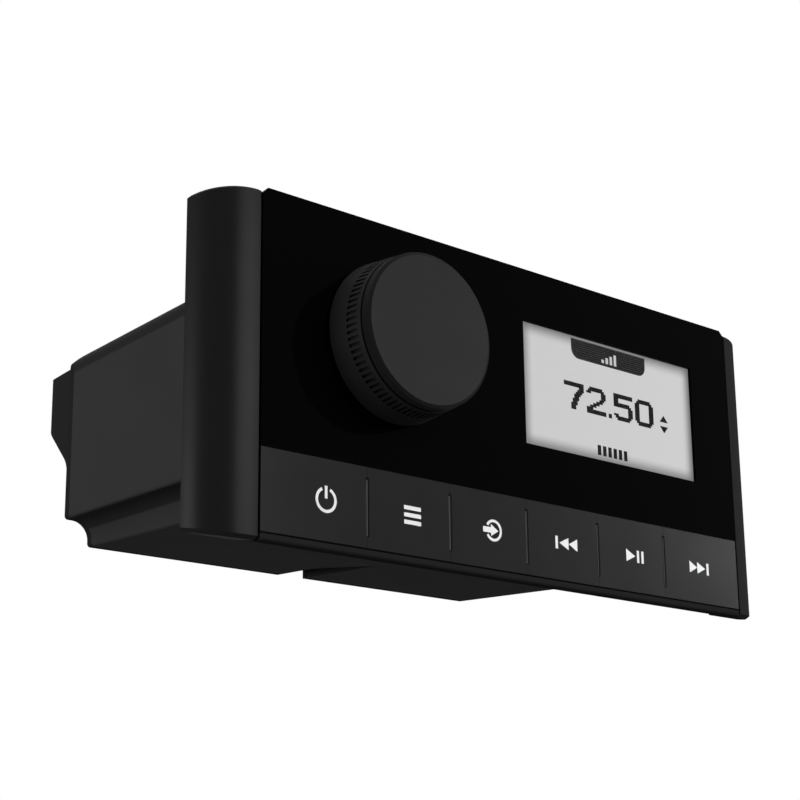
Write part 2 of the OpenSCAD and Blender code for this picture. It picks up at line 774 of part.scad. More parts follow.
module dial_grip() color("#232325") {
    hub_fit = 0.02;
    foot = dial_r(dial_gap);
    edge = 0.3;
    on_face(-dial_x, control_z) difference() {
        rotate_extrude() polygon([[shaft_r + hub_fit, dial_gap + 0.6], [hub_r, dial_gap + 0.6],
            [hub_r, web_z], [dial_r(web_z) - dial_wall, web_z], [foot - dial_wall, dial_gap],
            [foot - edge, dial_gap], [foot, dial_gap + edge], [dial_r(cap_z), cap_z],
            [shaft_r + hub_fit, cap_z]]);
        for (k = [0:slot_count - 1]) rotate(360 * k / slot_count)
            translate([dial_r(slot_z) - slot_d, -slot_w / 2, slot_z]) cube([2 * slot_d, slot_w, slot_h]);
    }
}

module dial_cap() color("#38383b") {
    seam = 0.25;
    bevel = 0.65;
    rim = dial_r(cap_z) - 0.2;
    on_face(-dial_x, control_z) rotate_extrude() polygon([[0, cap_z], [rim - 0.5, cap_z],
        [rim - 0.5, cap_z + seam], [rim, cap_z + seam], [dial_front_r, dial_z - bevel / 2],
        [dial_front_r - bevel, dial_z], [0, dial_z]]);
}

module shaft_seal() color("#1a1a1a") {
    on_face(-dial_x, control_z) translate([0, 0, fit - panel_t]) difference() {
        cylinder(h = panel_t - 2 * fit, r = bush_hole_r - fit / 4);
        translate([0, 0, -over]) cylinder(h = panel_t + 2 * over, r = bush_r + fit / 4);
    }
}

// End caps and mounting

module end_cap() {
    difference() {
        intersection() {
            cap_form(0, -fit);
            cap_bevel();
            mirror([0, 0, 1]) cap_bevel();
        }
        difference() {
            cap_form(cap_wall, over);
            for (z = [-1, 1]) clip_block(z, 0, -bezel_depth, -2 * fit);
        }
        block([cap_cx - over, -ear_t - fit, -ear_hh - fit],
            [cap_cx + cap_wall + over / 2, over, ear_hh + fit]);
    }
}

module end_cap_left() color(charcoal) mirror([1, 0, 0]) end_cap();
module end_cap_right() color(charcoal) end_cap();

module flange_gasket() color("#202022") {
    border = 1.5;
    hole_z = (case_top - low) / 2;
    translate([0, gasket_t, 0]) rotate([90, 0, 0]) linear_extrude(gasket_t) difference() {
        rounded(2 * ear_hw - border, 2 * ear_hh - border, 4);
        translate([0, hole_z]) rounded(case_w + 2 * border, case_top + low + 2 * border, top_r + border);
        for (x = [-1, 1], z = [-1, 1]) translate([x * screw_x, z * screw_pitch / 2])
            circle(screw_hole_r + slide);
    }
}

module case_seal() color("#1c1c1e") {
    on_face(0, 0) difference() {
        face_plate(2 * pocket_hw, 2 * pocket_hh, bezel_depth - flange_t - seal_t, bezel_depth - flange_t);
        face_plate(2 * inner_hw, 2 * inner_hh, 0, bezel_depth);
    }
}

// Rear case and cover

module rear_case() color("#2b2b2d") {
    difference() {
        union() {
            difference() {
                union() {
                    on_face(0, 0) face_plate(2 * (pocket_hw - slide), 2 * (pocket_hh - slide),
                        bezel_depth - flange_t, bezel_depth);
                    case_form();
                }
                case_hollow();
                block([-face_w, case_end, -face_h], [face_w, 2 * case_depth, face_h]);
            }
            relief_ridge();
            case_posts();
        }
        crown_cut();
        relief_form();
        for (p = case_screw_at) translate([p.x, 0, p.y]) rotate([90, 0, 0]) {
            cylinder(h = flange_t + over, r = shank_r + fit);
            translate([0, 0, -over]) cylinder(h = head_h + over, r = head_r + slide);
        }
        for (p = post_at) translate([p.x, p.y, main_z - post_h])
            cylinder(h = post_h + over, r = shank_r + fit / 2);
        both_sides() translate([cover_screw_x, case_end + over, cover_screw_z]) rotate([90, 0, 0])
            cylinder(h = cover_bite + 2 * over, r = shank_r + fit / 2);
    }
}

// Posts under the main board, and bosses for the cover's screws
module case_posts() {
    sink = case_wall / 2;
    for (p = post_at) translate([p.x, p.y, low_at(p.y) + sink])
        cylinder(h = main_z - low_at(p.y) - sink, r = post_r);
    both_sides() translate([cover_screw_x, case_end - fit, cover_screw_z]) rotate([90, 0, 0])
        cylinder(h = cover_bite + 2 * boss_r, r = boss_r + 0.6);
}

module case_screws() color("#b8bcc0") {
    for (p = case_screw_at) translate([p.x, -head_h, p.y]) rotate([-90, 0, 0])
        screw(flange_t - head_h + case_bite);
}

module rear_cover() color("#29292b") {
    difference() {
        union() {
            difference() {
                intersection() {
                    case_form();
                    block([-face_w, case_end, -face_h], [face_w, case_depth, face_h]);
                }
                crown_cut();
            }
            bulge_form(0);
        }
        bulge_form(cover_t);
        relief_form();
        translate([harness_x, 0, main_top + harness_h / 2]) block([-harness_w / 2 - fit, case_end - over,
            -harness_h / 2 - fit], [harness_w / 2 + fit, bulge_back, harness_h / 2 + fit]);
        translate([aerial_x, case_end - over, aerial_z]) rotate([-90, 0, 0])
            cylinder(h = cover_t + bulge, r = aerial_out_r + fit);
        both_sides() translate([cover_screw_x, case_end - over, cover_screw_z]) rotate([-90, 0, 0])
            cylinder(h = cover_t + 2 * over, r = shank_r + fit);
    }
}

module cover_screws() color("#8d9094") {
    both_sides() translate([cover_screw_x, case_depth, cover_screw_z]) rotate([-90, 0, 0])
        screw(cover_t + cover_bite);
}

// Main board and what stands on it

module main_board() color("#1f5a36") {
    difference() {
        block([-main_w / 2, main_front, main_z], [main_w / 2, main_back, main_top]);
        for (p = post_at) translate([p.x, p.y, main_z - over])
            cylinder(h = board_t + 2 * over, r = shank_r + fit);
    }
}

module main_board_screws() color("#b8bcc0") {
    for (p = post_at) translate([p.x, p.y, main_top]) screw(board_t + post_h - 1);
}

sink_w = main_w - 12;
sink_t = 3;
sink_front = socket_front + 1;
sink_z = aerial_z + aerial_out_r + 1;
fin_t = 1.4;
fin_count = 11;

// Plate on legs over the sockets, with fins that reach back into the bulge
module heat_sink() color("#9b9fa3") {
    top = bulge_top - cover_t - 1.2;
    leg_w = 6;
    difference() {
        block([-sink_w / 2, sink_front, main_top], [sink_w / 2, sink_front + sink_t, top]);
        block([-sink_w / 2 + leg_w, sink_front - over, main_top - over],
            [sink_w / 2 - leg_w, sink_front + sink_t + over, sink_z]);
    }
    for (k = [0:fin_count - 1]) translate([-sink_w / 2 + (sink_w - fin_t) * k / (fin_count - 1), 0, 0])
        block([0, sink_front + sink_t, bulge_flat - 2], [fin_t, case_depth + 1.5, top]);
}

module amp_chip() color("#18181a") {
    w = 26;
    t = 4.4;
    legs = 9;
    translate([0, sink_front - t, 0]) {
        block([-w / 2, 0, sink_z + 0.5], [w / 2, t, sink_z + 11]);
        for (k = [0:legs - 1]) translate([-w / 2 + 1 + (w - 2.8) * k / (legs - 1), t / 2, main_top])
            cube([0.8, 0.6, sink_z + 0.5 - main_top]);
    }
}

module capacitors() color("#26364f") {
    can_r = 5;
    can_h = 18;
    pitch = 2 * can_r + 4;
    for (k = [0:2]) translate([harness_x - 30 + pitch * k, main_front + 19, main_top]) {
        cylinder(h = can_h, r = can_r);
        translate([0, 0, can_h]) cylinder(h = 0.6, r = can_r - 0.8);
    }
}

module choke() color("#7a4a22") {
    coil_r = 6.4;
    wire = 2.6;
    translate([main_w / 2 - 12, main_front + 22, main_top + wire]) rotate_extrude()
        translate([coil_r, 0]) circle(wire);
}

module tuner_can() color("#b4b8ba") {
    can_w = 24;
    can_len = 22;
    left = aerial_x - 8;
    back = socket_front - 2;
    block([left, back - can_len, main_top], [left + can_w, back, main_top + 7]);
}

ribbon_w = 18;
ribbon_x = 10;
ribbon_t = 0.3;
ribbon_bend = 2.8;
socket_h = 2.6;
ribbon_z = main_top + socket_h + ribbon_bend;
main_socket_y = main_front + 4.5;
board_back_y = board_back - bezel_depth;

// Flat cable from the back of the control board, bent down into the main board's socket
module ribbon_cable() color("#c7c2b4") {
    start = board_back_y + socket_h;
    turn = main_socket_y - ribbon_bend;
    c = [turn, main_top + socket_h];
    translate([ribbon_x, 0, 0]) across(ribbon_w, concat([[start, ribbon_z - ribbon_t / 2]],
        arc(c, ribbon_bend - ribbon_t / 2, 90, 0), arc(c, ribbon_bend + ribbon_t / 2, 0, 90),
        [[start, ribbon_z + ribbon_t / 2]]));
}

module ribbon_sockets() color("#e6e2d6") {
    half = ribbon_w / 2 + 1;
    translate([ribbon_x, 0, 0]) {
        block([-half, board_back_y, ribbon_z - 1.5], [half, board_back_y + socket_h, ribbon_z + 1.5]);
        block([-half, main_socket_y - 1.5, main_top], [half, main_socket_y + 1.5, main_top + socket_h]);
    }
}

// Rear sockets

module harness_socket() color("#d9d5c8") {
    translate([harness_x, 0, main_top]) difference() {
        block([-harness_w / 2, socket_front, 0], [harness_w / 2, socket_back, harness_h]);
        block([-harness_w / 2 + socket_wall, socket_back - harness_in, socket_wall],
            [harness_w / 2 - socket_wall, socket_back + over, harness_h - socket_wall]);
        block([-3, socket_back - harness_in, harness_h / 2],
            [3, socket_back + over, harness_h - socket_wall / 2]);
    }
}

module harness_pins() color("#c8a84e") {
    for (c = [0:pin_cols - 1], r = [-1, 1])
        translate([harness_x + (c - (pin_cols - 1) / 2) * pin_pitch, socket_back - harness_in,
            main_top + harness_h / 2 + r * pin_pitch / 2])
            translate([-pin_side / 2, 0, -pin_side / 2]) cube([pin_side, harness_in - 6, pin_side]);
}

module aerial_socket() color("#b9bdc0") {
    length = socket_back - socket_front;
    translate([aerial_x, socket_back, aerial_z]) rotate([90, 0, 0]) difference() {
        cylinder(h = length, r = aerial_out_r);
        translate([0, 0, -over]) cylinder(h = aerial_deep + over, r = aerial_r);
        translate([0, 0, aerial_deep - over])
            cylinder(h = length - aerial_deep - 1.2 + over, r = aerial_seat_r);
    }
}

module aerial_insulator() color("#e9e7e0") {
    translate([aerial_x, socket_back - aerial_deep, aerial_z]) rotate([90, 0, 0]) difference() {
        cylinder(h = 3, r = aerial_seat_r - fit / 4);
        translate([0, 0, -over]) cylinder(h = 3 + 2 * over, r = 1.5 + fit / 4);
    }
}

module aerial_contact() color("#c8a84e") {
    translate([aerial_x, socket_back - aerial_deep, aerial_z]) rotate([90, 0, 0]) difference() {
        cylinder(h = 5, r = 1.5);
        translate([0, 0, -over]) cylinder(h = 4 + over, r = 0.9);
    }
}

front_frame();
front_panel();
display_window();
lcd_glass();
lcd_backlight();
lcd_holder();
control_board();
board_screws();
tact_switches();
key_mat();
key_power();
key_menu();
key_source();
key_previous();
key_play();
key_next();
encoder_body();
click_dome();
push_plate();
dial_shaft();
dial_grip();
dial_cap();
shaft_seal();
end_cap_left();
end_cap_right();
flange_gasket();
case_seal();
rear_case();
case_screws();
rear_cover();
cover_screws();
main_board();
main_board_screws();
heat_sink();
amp_chip();
capacitors();
choke();
tuner_can();
ribbon_cable();
ribbon_sockets();
harness_socket();
harness_pins();
aerial_socket();
aerial_insulator();
aerial_contact();
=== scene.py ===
"""Marine stereo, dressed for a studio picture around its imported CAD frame. Units are metres."""
import math

import bpy
import bmesh
from mathutils import Matrix, Vector


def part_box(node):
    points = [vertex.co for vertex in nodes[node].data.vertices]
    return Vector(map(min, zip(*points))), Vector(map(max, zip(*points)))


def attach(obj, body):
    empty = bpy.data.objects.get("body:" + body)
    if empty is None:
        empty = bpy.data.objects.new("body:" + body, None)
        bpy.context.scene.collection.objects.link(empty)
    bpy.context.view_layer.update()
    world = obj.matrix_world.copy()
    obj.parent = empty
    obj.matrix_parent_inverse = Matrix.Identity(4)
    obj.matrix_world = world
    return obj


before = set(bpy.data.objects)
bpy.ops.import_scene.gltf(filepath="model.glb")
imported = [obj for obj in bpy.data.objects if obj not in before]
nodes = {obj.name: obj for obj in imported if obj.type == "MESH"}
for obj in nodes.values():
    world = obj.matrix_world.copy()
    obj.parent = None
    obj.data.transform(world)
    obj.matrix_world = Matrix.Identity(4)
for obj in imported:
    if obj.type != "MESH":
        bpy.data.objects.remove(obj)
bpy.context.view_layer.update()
MM = 0.001
WHITE = (1, 1, 1, 1)

# Camera: it looks up at the unit from its front left
CAMERA_AT = Vector((-243.55, -254.14, -100.16)) * MM
CAMERA_YAW, CAMERA_PITCH, CAMERA_ROLL = 39.05, 14.29, -0.27
CAMERA_LENS, CAMERA_SENSOR = 75.7, 36
CAMERA_SHIFT = (0.05, 0.10)
CAMERA_CLIP = (0.01, 20)

# The floor lies below the low camera, so that the unit is seen from under its face
FLOOR_Z = -0.32
FLOOR_SIZE = 30.0
FLOOR_LEVEL, FLOOR_DRIFT, FLOOR_PATCH = 116, 2, 200 * MM
FLOOR_LIFT = 0.6

# Light: level of the world for diffuse rays, distance of the lamps from the origin, and lamps as
# name, azimuth from the front towards the right, elevation, width and height, power
AMBIENT = 0.15
LAMP_REACH = 0.9
LAMPS = [
    ("front_box", 7, 16.5, (0.65, 0.32), 7.8),
    ("right_box", 71, 16, (0.42, 0.32), 5.2),
    ("left_box", -100, 0, (0.40, 0.44), 6.6),
    ("back_box", 180, 25, (0.60, 0.60), 7.0),
    ("side_box", 108, 12, (0.45, 0.45), 4.5),
    ("top_box", 180, 84, (0.50, 0.50), 8.0),
]


# Materials

def grey(level):
    """Linear colour of a grey that is given as a screen level from 0 to 255."""
    s = level / 255
    v = s / 12.92 if s <= 0.04045 else ((s + 0.055) / 1.055) ** 2.4
    return (v, v, v, 1.0)


def tinted(r, g, b):
    """Linear colour from screen levels."""
    return tuple(grey(c)[0] for c in (r, g, b)) + (1.0,)


# Parts of a face's normal between which a finish sets in, with painted light on ends that look down
# and painted shade on sides: upright for ends, along Y for sides
ENDS_FROM, ENDS_TO = 0.3, 0.7
SIDES_FROM, SIDES_TO = -0.98, -0.9
MATT = 0.95
BAND_SOFT = 0.15 * MM
BROAD, FINE = 2.0, 3.0
GRAIN_STRENGTH = 0.4
# Rays for the painted shade in corners and grooves
CREASE_SHADE_SAMPLES = 12


class Nodes:
    """Adds nodes to a tree. A value is a socket to link or a constant."""

    def __init__(self, tree):
        self.tree = tree

    def add(self, kind, **values):
        n = self.tree.nodes.new(kind)
        for key, value in values.items():
            setattr(n, key, value)
        return n

    def feed(self, socket, value):
        if isinstance(value, bpy.types.NodeSocket):
            self.tree.links.new(value, socket)
        else:
            socket.default_value = value

    def maths(self, operation, *values):
        n = self.add("ShaderNodeMath", operation=operation)
        for socket, value in zip(n.inputs, values):
            self.feed(socket, value)
        return n.outputs["Value"]

    def ramp(self, value, start, end, low=0.0, high=1.0, kind="LINEAR"):
        """Runs from low to high while the value runs from start to end."""
        n = self.add("ShaderNodeMapRange", interpolation_type=kind)
        n.inputs["From Min"].default_value = start
        n.inputs["From Max"].default_value = end
        n.inputs["To Min"].default_value = low
        n.inputs["To Max"].default_value = high
        self.feed(n.inputs["Value"], value)
        return n.outputs["Result"]

    def seen(self, as_light, as_seen):
        """One level as a light, another where the camera, a reflection or a clear piece looks."""
        rays = self.add("ShaderNodeLightPath")
        seen = rays.outputs["Is Camera Ray"]
        for kind in ("Is Glossy Ray", "Is Transmission Ray"):
            seen = self.maths("MAXIMUM", seen, rays.outputs[kind])
        return self.ramp(seen, 0, 1, as_light, as_seen)


class Maker(Nodes):
    """One material. Every texture runs on object coordinates, which are the part's own."""

    def __init__(self, name, base, rough, level=0.5, metallic=0.0):
        self.mat = bpy.data.materials.new(name)
        self.mat.use_nodes = True
        super().__init__(self.mat.node_tree)
        self.shader = self.tree.nodes["Principled BSDF"]
        self.put("Base Color", base)
        self.put("Roughness", rough)
        self.put("Specular IOR Level", level)
        self.put("Metallic", metallic)
        self.place = self.add("ShaderNodeTexCoord").outputs["Object"]

    def put(self, name, value):
        self.feed(self.shader.inputs[name], value)

    def source(self, name):
        """What is linked to the shader's input so far."""
        return self.shader.inputs[name].links[0].from_socket

    def noise(self, size, detail):
        n = self.add("ShaderNodeTexNoise")
        n.inputs["Scale"].default_value = 1 / size
        n.inputs["Detail"].default_value = detail
        self.feed(n.inputs["Vector"], self.place)
        return n.outputs["Fac"]

    def mix(self, kind, factor, a, b):
        """Number or colour between a and b."""
        n = self.add("ShaderNodeMix", data_type=kind)
        for name, value in (("Factor", factor), ("A", a), ("B", b)):
            self.feed(n.inputs[name], value)
        return n.outputs["Result"]

    def split(self, vector):
        n = self.add("ShaderNodeSeparateXYZ")
        self.feed(n.inputs["Vector"], vector)
        return n.outputs

    def facing(self, axis):
        """Part of the face's normal along an axis."""
        return self.split(self.add("ShaderNodeNewGeometry").outputs["Normal"])[axis]

    def drift(self, size, a, b):
        """Base colour that wanders between two shades over the surface."""
        self.put("Base Color", self.mix("RGBA", self.noise(size, BROAD), a, b))
        return self

    def worn(self, size, low, high):
        """Roughness that wanders between two values over the surface."""
        self.put("Roughness", self.ramp(self.noise(size, BROAD), 0, 1, low, high))
        return self

    def grain(self, size, depth):
        """Fine moulded texture as bump."""
        bump = self.add("ShaderNodeBump")
        bump.inputs["Distance"].default_value = depth
        bump.inputs["Strength"].default_value = GRAIN_STRENGTH
        self.feed(bump.inputs["Height"], self.noise(size, FINE))
        self.put("Normal", bump.outputs["Normal"])
        return self

    def shade_creases(self, reach):
        """Painted shade: base colour that deepens in corners and in grooves narrower than reach."""
        n = self.add("ShaderNodeAmbientOcclusion", samples=CREASE_SHADE_SAMPLES)
        n.inputs["Distance"].default_value = reach
        self.feed(n.inputs["Color"], self.source("Base Color"))
        self.put("Base Color", n.outputs["Color"])
        return self

    def over(self, factor, shade):
        """Lays another shade over the base colour, as far as the factor says."""
        self.put("Base Color", self.mix("RGBA", factor, self.source("Base Color"), shade))
        return self

    def matt_ends(self, rough):
        """Rough on faces that look up or down."""
        upright = self.maths("ABSOLUTE", self.facing("Z"))
        ends = self.ramp(upright, ENDS_FROM, ENDS_TO, 0, rough)
        self.put("Roughness", self.maths("MAXIMUM", self.source("Roughness"), ends))
        return self

    def matt_shaded_sides(self, rough, shade):
        """Rough on faces that turn away from the front, with painted shade in another base colour
        there.
        """
        away = self.ramp(self.facing("Y"), SIDES_FROM, SIDES_TO)
        self.put("Roughness", self.mix("FLOAT", away, self.source("Roughness"), rough))
        return self.over(away, shade)

    def under(self, shade):
        """Another shade on faces that look down, painted for how light falls on them."""
        return self.over(self.ramp(self.facing("Z"), -ENDS_FROM, -ENDS_TO), shade)

    def shade_band(self, across, low, high, shade):
        """Painted shade: another base colour between two places along a direction."""
        along = self.add("ShaderNodeVectorMath", operation="DOT_PRODUCT")
        along.inputs[1].default_value = across
        self.feed(along.inputs[0], self.place)
        off = self.maths("SUBTRACT", along.outputs["Value"], (low + high) / 2)
        half = (high - low) / 2
        within = self.ramp(self.maths("ABSOLUTE", off), half + BAND_SOFT, half - BAND_SOFT)
        return self.over(within, shade)

    def glow(self, colour, strength):
        self.put("Emission Color", colour)
        self.put("Emission Strength", strength)
        return self


# Unevenness of plastic, in shade and in gloss, and of metal, in gloss: patch size and spread
SHADE_PATCH, SHADE_SPREAD = 14 * MM, 0.06
GLOSS_PATCH, GLOSS_SPREAD = 9 * MM, 0.03
METAL_PATCH, METAL_LESS, METAL_MORE = 4 * MM, 0.06, 0.08


def moulded(name, level, rough, shine, grain_size=0.3 * MM, grain_depth=0.012 * MM):
    """Moulded plastic: a little uneven in shade and in gloss, with a fine grain."""
    darker, lighter = grey(level * (1 - SHADE_SPREAD)), grey(level * (1 + SHADE_SPREAD))
    return Maker(name, grey(level), rough, shine).drift(SHADE_PATCH, darker, lighter) \
        .worn(GLOSS_PATCH, rough - GLOSS_SPREAD, rough + GLOSS_SPREAD) \
        .matt_ends(MATT).grain(grain_size, grain_depth)


def plastic(name, level, rough, shine):
    """Moulded plastic, with painted shade in its fine corners and grooves."""
    return moulded(name, level, rough, shine).shade_creases(1 * MM).mat


def metal(name, r, g, b, rough):
    """Bare or plated metal with an uneven gloss."""
    return Maker(name, tinted(r, g, b), rough, metallic=1.0) \
        .worn(METAL_PATCH, rough - METAL_LESS, rough + METAL_MORE).mat


# Painted shade bands of the case, as a direction and two places along it: its top edge, and the
# cove under its ledge, which rises by 2 mm over the depth of the case
LEDGE_RISE = 2.0 / 73.6
TOP_SHADE_BAND = (0, 0, 1), 18.9 * MM, 24 * MM
COVE_SHADE_BAND = (0, -LEDGE_RISE, 1), -19.0 * MM, -17.0 * MM
CASE_GRAIN = 0.5 * MM, 0.03 * MM
RUBBER_GRAIN = 0.5 * MM, 0.04 * MM

# Left end cap: a lighter painted shade on faces that look down, and painted shade in its corners
charcoal = moulded("charcoal_plastic", 13, 0.34, 0.05).under(grey(24)).shade_creases(1 * MM).mat
# Right end cap: the left cap's plastic as a lighter matt copy, with light painted into its base
# colour
right_cap_lit_charcoal = plastic("right_cap_lit_copy_plastic", 35, 0.9, 0.0)
# Front frame: a darker painted shade on faces that look down, and painted shade in its corners
frame_plastic = moulded("frame_plastic", 31, 0.9, 0.0).under(grey(28)).shade_creases(2 * MM).mat
key_plastic = plastic("key_plastic", 18, 0.24, 0.067)
# Case: painted shade in a band along its top edge, in the cove below its ledge, and in its corners
case_plastic = moulded("case_plastic", 43, 0.9, 0.01, *CASE_GRAIN) \
    .shade_band(*TOP_SHADE_BAND, grey(31)).shade_band(*COVE_SHADE_BAND, grey(29)).shade_creases(5 * MM).mat
cover_plastic = moulded("cover_plastic", 25, 0.9, 0.01, *CASE_GRAIN).shade_creases(4 * MM).mat
grip_plastic = plastic("grip_plastic", 27, 0.42, 0.02)
# Dial cap: painted shade on its sides and in its corners
dial_plastic = moulded("dial_plastic", 20, 0.32, 0.065).matt_shaded_sides(MATT, grey(15)) \
    .shade_creases(1 * MM).mat
gloss_black = Maker("gloss_black", grey(3), 0.06, 0.008).worn(30 * MM, 0.05, 0.08).mat
rubber = moulded("rubber", 18, 0.8, 0.05, *RUBBER_GRAIN).shade_creases(1 * MM).mat
# Near black for the painted seam shadows
seam_shadow_black = plastic("seam_shadow_black", 7, 0.9, 0.0)
silicone = plastic("silicone", 120, 0.7, 0.2)
light_plastic = plastic("light_plastic", 228, 0.5, 0.3)
nylon = plastic("nylon", 214, 0.5, 0.3)
dark_plastic = plastic("dark_plastic", 30, 0.5, 0.3)
steel = metal("steel", 190, 192, 196, 0.32)
nickel = metal("nickel", 200, 200, 202, 0.2)
aluminium = metal("aluminium", 205, 207, 210, 0.38)
brass = metal("brass", 214, 182, 110, 0.28)
copper = metal("copper", 190, 112, 66, 0.4)
sleeve = plastic("sleeve", 48, 0.3, 0.4)
ribbon = plastic("ribbon", 205, 0.5, 0.3)
board_green = Maker("board_green", tinted(30, 92, 58), 0.4, 0.4) \
    .drift(3 * MM, tinted(24, 78, 48), tinted(36, 104, 66)).worn(6 * MM, 0.32, 0.5).mat

PAINT = {
    charcoal: ["end_cap_left"],
    right_cap_lit_charcoal: ["end_cap_right"],
    frame_plastic: ["front_frame"],
    key_plastic: ["key_power", "key_menu", "key_source", "key_previous", "key_play", "key_next"],
    case_plastic: ["rear_case"],
    cover_plastic: ["rear_cover"],
    gloss_black: ["front_panel"],
    grip_plastic: ["dial_grip"],
    dial_plastic: ["dial_cap"],
    rubber: ["shaft_seal", "case_seal", "flange_gasket"],
    silicone: ["key_mat"],
    light_plastic: ["lcd_backlight", "lcd_holder", "push_plate", "ribbon_sockets",
                    "aerial_insulator"],
    nylon: ["harness_socket"],
    dark_plastic: ["tact_switches", "amp_chip"],
    steel: ["board_screws", "case_screws", "cover_screws", "main_board_screws", "encoder_body",
            "dial_shaft", "tuner_can"],
    nickel: ["aerial_socket"],
    aluminium: ["heat_sink"],
    brass: ["click_dome", "harness_pins", "aerial_contact"],
    copper: ["choke"],
    sleeve: ["capacitors"],
    ribbon: ["ribbon_cable"],
    board_green: ["control_board", "main_board"],
}


def paint(obj, material):
    obj.data.materials.clear()
    obj.data.materials.append(material)


for material, names in PAINT.items():
    for name in names:
        paint(nodes[name], material)


# Display

# Glow of the backlit display, and the painted shade of the window's recess towards its edges
DISPLAY_MID, DISPLAY_SHADED_EDGE = grey(203), grey(112)
EDGE_OUT, EDGE_FADE = 0.4 * MM, 3.2 * MM
CLEAR_ALPHA = 0.04
window_low, window_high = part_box("display_window")
window_x = (window_low.x + window_high.x) / 2
glass_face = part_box("lcd_glass")[0].y


def display_material():
    """Backlit liquid crystal that glows, darker towards the edges of the window, where the
    backlight falls off and shade of the window's recess is painted.
    """
    m = Maker("liquid_crystal", grey(40), 0.4, 0.05)
    place = m.split(m.place)
    inside = 1.0
    for axis, edge, sign in (("X", window_low.x, 1), ("X", window_high.x, -1),
                             ("Z", window_low.z, 1), ("Z", window_high.z, -1)):
        inward = m.ramp(place[axis], edge - sign * EDGE_OUT, edge + sign * EDGE_FADE,
                        kind="SMOOTHSTEP")
        inside = m.maths("MULTIPLY", inside, inward)
    return m.glow(m.mix("RGBA", inside, DISPLAY_SHADED_EDGE, DISPLAY_MID), 1.0).mat


def hatched(name, a, b, pitch):
    """Dark rows of the display, as level stripes; a wave of scale 1 has a pitch of pi / 10."""
    m = Maker(name, a, 0.5, 0.0)
    wave = m.add("ShaderNodeTexWave", bands_direction="Z")
    wave.inputs["Scale"].default_value = math.pi / 10 / pitch
    m.feed(wave.inputs["Vector"], m.place)
    m.put("Base Color", m.mix("RGBA", wave.outputs["Fac"], a, b))
    return m.mat


paint(nodes["lcd_glass"], display_material())
window_clear = Maker("window_clear", grey(20), 0.04, 0.05)
window_clear.put("Alpha", CLEAR_ALPHA)
paint(nodes["display_window"], window_clear.mat)

lcd_ink = Maker("lcd_ink", grey(34), 0.5, 0.0).drift(2 * MM, grey(31), grey(37)).mat
lcd_tab = hatched("lcd_tab", grey(20), grey(58), 0.5 * MM)
lcd_pale = Maker("lcd_pale", grey(60), 0.5, 0.05).glow(grey(190), 1.0).mat
icon_white = Maker("icon_white", grey(214), 0.5, 0.1).drift(3 * MM, grey(211), grey(217)).mat


# Flat marks: faces on a plane that looks along -Y, given a little thickness

JOIN_WITHIN = 0.002 * MM


def mark_piece(name, body, outlines, back_y, thick, material):
    """Thin raised piece from lists of (x, z) points; outlines that share corners are joined."""
    bm = bmesh.new()
    for outline in outlines:
        bm.faces.new([bm.verts.new((x, back_y, z)) for x, z in outline])
    bmesh.ops.remove_doubles(bm, verts=bm.verts, dist=JOIN_WITHIN)
    raised = bmesh.ops.extrude_face_region(bm, geom=list(bm.faces))["geom"]
    front = [v for v in raised if isinstance(v, bmesh.types.BMVert)]
    bmesh.ops.translate(bm, verts=front, vec=(0, -thick, 0))
    bmesh.ops.recalc_face_normals(bm, faces=bm.faces)
    mesh = bpy.data.meshes.new(name)
    bm.to_mesh(mesh)
    bm.free()
    obj = bpy.data.objects.new(name, mesh)
    bpy.context.scene.collection.objects.link(obj)
    paint(obj, material)
    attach(obj, body)


def between(low_x, high_x, low_z, high_z):
    """Upright rectangle."""
    return [(low_x, low_z), (high_x, low_z), (high_x, high_z), (low_x, high_z)]


def bar(x, z, w, h):
    """Upright rectangle round a centre."""
    return between(x - w / 2, x + w / 2, z - h / 2, z + h / 2)


def arc_points(x, z, r, start, end, steps):
    """Points on a circle, from one angle to another."""
    turns = [math.radians(start + (end - start) * k / steps) for k in range(steps + 1)]
    return [(x + r * math.cos(a), z + r * math.sin(a)) for a in turns]


def ring(x, z, r, width, start, end, steps=32):
    """Part of a ring, from one angle to another, as a strip of quads."""
    outer = arc_points(x, z, r, start, end, steps)
    inner = arc_points(x, z, r - width, start, end, steps)
    return [[inner[k], outer[k], outer[k + 1], inner[k + 1]] for k in range(steps)]


def pointer(x, tip, h):
    """Triangle with an upright base at x, round the middle line."""
    return [(x, -h / 2), (tip, 0), (x, h / 2)]


def row(count, pitch):
    """Even places round 0."""
    return [(k - (count - 1) / 2) * pitch for k in range(count)]


def placed(outlines, x, z):
    """Outlines in millimetres, moved to a place on the face."""
    return [[(x + px * MM, z + pz * MM) for px, pz in outline] for outline in outlines]


# Key marks, in millimetres round their middles
BAR_W, BAR_H = 0.72, 2.75
SKIP_H, PLAY_H = 2.7, 2.8
POWER = ring(0, 0, 2.55, 0.6, 115, 425) + [bar(0, 1.5, 0.64, 2.5)]
MENU = [bar(0, z, 4.4, 0.82) for z in row(3, 1.46)]
ARROW = [(-2.6, -0.58), (-0.4, -0.58), (-0.4, -1.25), (1.65, 0),
         (-0.4, 1.25), (-0.4, 0.58), (-2.6, 0.58)]
SOURCE = ring(0.35, 0, 2.3, 0.56, -150, 150) + [ARROW]
PREVIOUS = [bar(-2.95, 0, BAR_W, BAR_H), pointer(0.65, -2.1, SKIP_H), pointer(3.3, 0.75, SKIP_H)]
PLAY = [pointer(-2.85, 0.0, PLAY_H), bar(0.95, 0, BAR_W, BAR_H), bar(2.4, 0, BAR_W, BAR_H)]
NEXT = [[(-x, z) for x, z in outline] for outline in PREVIOUS]
ICONS = {"key_power": POWER, "key_menu": MENU, "key_source": SOURCE,
         "key_previous": PREVIOUS, "key_play": PLAY, "key_next": NEXT}
ICON_THICK = 0.03 * MM
ICON_PITCH = 21.63 * MM
ICON_START = -53.15 * MM
